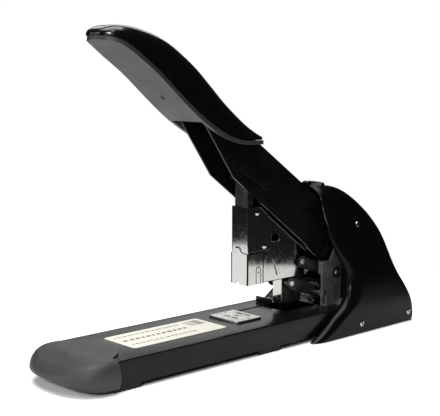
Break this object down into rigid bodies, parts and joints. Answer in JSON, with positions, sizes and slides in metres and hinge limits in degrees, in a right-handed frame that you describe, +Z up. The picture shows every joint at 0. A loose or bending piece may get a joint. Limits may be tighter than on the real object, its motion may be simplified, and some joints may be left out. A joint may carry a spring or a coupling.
{
  "type": "long-arm desktop stapler",
  "caption": "Heavy-duty long-arm desktop stapler: sprung lever handle, front-loading magazine head on parallel links, flat base with clinch plate and sliding depth stop.",
  "frame": {"origin": "on the table, under the middle of the overall box", "axes": "+X towards the housing at the rear, -X towards the nose, +Y to the user's left, +Z up"},
  "size_m": [0.3786, 0.1012, 0.2657],
  "materials": {
    "black_steel": "satin black stoved paint on sheet steel",
    "housing_plastic": "satin-gloss black moulding with a fine spark texture",
    "handle_gloss": "polished black moulding",
    "grey_plastic": "matt dark grey moulding",
    "rubber": "matt ribbed rubber",
    "chrome": "bright nickel-chrome plate",
    "brushed_steel": "zinc-plated or ground steel",
    "dark_steel": "oiled dark steel",
    "label_paper": null
  },
  "bodies": {
    "base": {"base_channel": "black_steel", "nose_cap": "grey_plastic", "label": "label_paper", "anvil_plate": "brushed_steel", "foot_front_left": "rubber", "foot_middle_left": "rubber", "foot_rear_left": "rubber", "foot_front_right": "rubber", "foot_middle_right": "rubber", "foot_rear_right": "rubber", "frame_side_left": "dark_steel", "frame_side_right": "dark_steel", "frame_bolt_1": "brushed_steel", "frame_bolt_2": "brushed_steel", "frame_bolt_3": "brushed_steel", "frame_bolt_4": "brushed_steel", "handle_shaft": "brushed_steel", "upper_link_shaft": "brushed_steel", "lower_link_shaft": "brushed_steel", "handle_shaft_clip": "dark_steel", "upper_link_clip": "dark_steel", "cover_left": "housing_plastic", "cover_right": "housing_plastic", "cover_screw_top_left": "chrome", "cover_screw_front_left": "chrome", "cover_screw_rear_left": "chrome", "cover_screw_top_right": "chrome", "cover_screw_front_right": "chrome", "cover_screw_rear_right": "chrome"},
    "depth_stop": {"depth_stop": "black_steel", "depth_stop_screw": "chrome"},
    "handle": {"handle_arm": "black_steel", "handle_top_shell": "handle_gloss", "handle_grip_tray": "grey_plastic", "handle_screw": "dark_steel", "handle_spring": "dark_steel"},
    "upper_link": {"upper_link_left": "dark_steel", "upper_link_right": "dark_steel", "lift_spring_left": "chrome", "lift_spring_right": "chrome"},
    "lower_link": {"lower_link_left": "dark_steel", "lower_link_right": "dark_steel", "return_spring": "chrome"},
    "head": {"head_plate_left": "chrome", "head_plate_right": "chrome", "head_sleeve": "chrome", "head_rivet_upper": "brushed_steel", "head_rivet_lower": "brushed_steel", "head_carrier": "dark_steel", "upper_link_pin": "brushed_steel", "lower_link_pin": "brushed_steel", "magazine_core": "brushed_steel", "pusher_spring": "brushed_steel"},
    "driver": {"driver_carrier": "dark_steel", "driver_blade": "brushed_steel", "driver_pin": "brushed_steel"},
    "drawer": {"magazine_drawer": "brushed_steel"},
    "pusher": {"pusher": "dark_steel"}
  },
  "joints": [
    {"name": "handle_pivot", "type": "hinge", "parent": "base", "child": "handle", "pos_m": [0.11875, 0, 0.088], "axis": [0, -1, 0], "range_deg": [0, 24], "stiffness_Nm_per_rad": 4, "springref_deg": -28.65},
    {"name": "upper_link_hinge", "type": "hinge", "parent": "base", "child": "upper_link", "pos_m": [0.10945, 0, 0.052], "axis": [0, -1, 0], "range_deg": [0, 40.01]},
    {"name": "head_hinge", "type": "hinge", "parent": "upper_link", "child": "head", "pos_m": [0.07374, 0, 0.065], "axis": [0, 1, 0], "range_deg": [0, 40.01]},
    {"name": "lower_link_hinge", "type": "hinge", "parent": "base", "child": "lower_link", "pos_m": [0.09575, 0, 0.034], "axis": [0, -1, 0], "range_deg": [0, 40.01]},
    {"name": "driver_slide", "type": "slide", "parent": "head", "child": "driver", "axis": [0, 0, -1], "range_m": [0, 0.02155]},
    {"name": "drawer_slide", "type": "slide", "parent": "head", "child": "drawer", "axis": [-1, 0, 0], "range_m": [0, 0.07]},
    {"name": "pusher_slide", "type": "slide", "parent": "head", "child": "pusher", "axis": [1, 0, 0], "range_m": [0, 0.04], "stiffness_N_per_m": 40, "springref_m": -0.03, "deforming": ["pusher_spring"]},
    {"name": "depth_stop_slide", "type": "slide", "parent": "base", "child": "depth_stop", "axis": [-1, 0, 0], "range_m": [0, 0.042]}
  ],
  "couplings": [
    {"joint": "upper_link_hinge", "follows": "handle_pivot", "ratio": 1.6667},
    {"joint": "head_hinge", "follows": "handle_pivot", "ratio": 1.6667},
    {"joint": "lower_link_hinge", "follows": "handle_pivot", "ratio": 1.6667},
    {"joint": "driver_slide", "follows": "handle_pivot", "m_per_rad": 0.05133}
  ]
}
